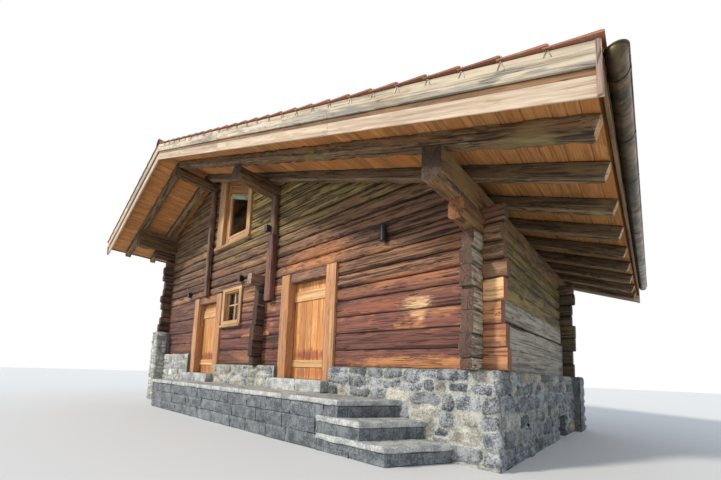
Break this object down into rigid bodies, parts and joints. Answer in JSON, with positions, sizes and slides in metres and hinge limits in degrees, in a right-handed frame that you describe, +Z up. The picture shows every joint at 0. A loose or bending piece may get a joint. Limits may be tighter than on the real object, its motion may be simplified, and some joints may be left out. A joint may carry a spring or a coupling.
{
  "type": "alpine log chalet",
  "caption": "Alpine chalet of squared and round logs on a rubble stone base, with interlocked log corners, hinged doors and a long tiled gable roof on purlins and rafters.",
  "frame": {"origin": "middle of the bottom of the outer box, on the level that the base stands on", "axes": "+X along the gable front to its low right eave, +Y from the front to the rear, +Z up"},
  "size_m": [12.541, 7.108, 6.3198],
  "materials": {
    "rubble_stone": "rough",
    "dark_stone": "rough",
    "floor_boards": "matt",
    "red_logs": "weathered",
    "brown_logs": "weathered",
    "olive_logs": "weathered",
    "posts": "weathered",
    "purlins": "weathered",
    "rafters": "weathered",
    "soffit": "matt",
    "clay_tiles": "matt",
    "verge_grey": "weathered",
    "verge_cream": "matt",
    "copper": "patinated",
    "slabs": "split",
    "grey_boards": "weathered",
    "door_posts": "matt",
    "door_boards": "satin",
    "iron": "matt",
    "window_wood": "matt",
    "glass": "clear"
  },
  "bodies": {
    "house": {"base_front": "rubble_stone", "base_rear": "rubble_stone", "base_left": "rubble_stone", "base_right": "dark_stone", "ground_floor": "floor_boards", "upper_floor": "floor_boards", "front_wall_right": "red_logs", "front_wall_middle": "red_logs", "front_wall_left": "red_logs", "front_gable": "brown_logs", "rear_wall": "brown_logs", "right_wall": "olive_logs", "left_wall": "brown_logs", "cross_wall": "brown_logs", "gable_posts": "posts", "ridge_purlin": "purlins", "middle_purlin": "purlins", "right_plate": "purlins", "left_plate": "purlins", "right_rafters": "rafters", "left_rafters": "rafters", "right_boarding": "soffit", "left_boarding": "soffit", "right_tiles": "clay_tiles", "left_tiles": "clay_tiles", "ridge_tiles": "clay_tiles", "verge_upper_boards": "verge_grey", "verge_lower_boards": "verge_cream", "eave_boards": "verge_grey", "gutter": "copper", "gutter_brackets": "copper", "thresholds": "slabs", "entrance_steps": "slabs", "right_cladding": "grey_boards", "door_1_frame": "door_posts", "door_2_frame": "door_posts", "door_hinges": "iron", "small_window": "window_wood", "upper_window": "window_wood", "window_glass": "glass", "wall_lamps": "iron"},
    "door_1": {"door_1_leaf": "door_boards", "door_1_straps": "iron"},
    "door_2": {"door_2_leaf": "door_boards", "door_2_straps": "iron"}
  },
  "joints": [
    {"name": "door_1_hinge", "type": "hinge", "parent": "house", "child": "door_1", "pos_m": [-2.6805, -1.872, 1.06], "axis": [0, 0, 1], "range_deg": [0, 100]},
    {"name": "door_2_hinge", "type": "hinge", "parent": "house", "child": "door_2", "pos_m": [2.2195, -1.872, 1.06], "axis": [0, 0, -1], "range_deg": [0, 100]}
  ]
}
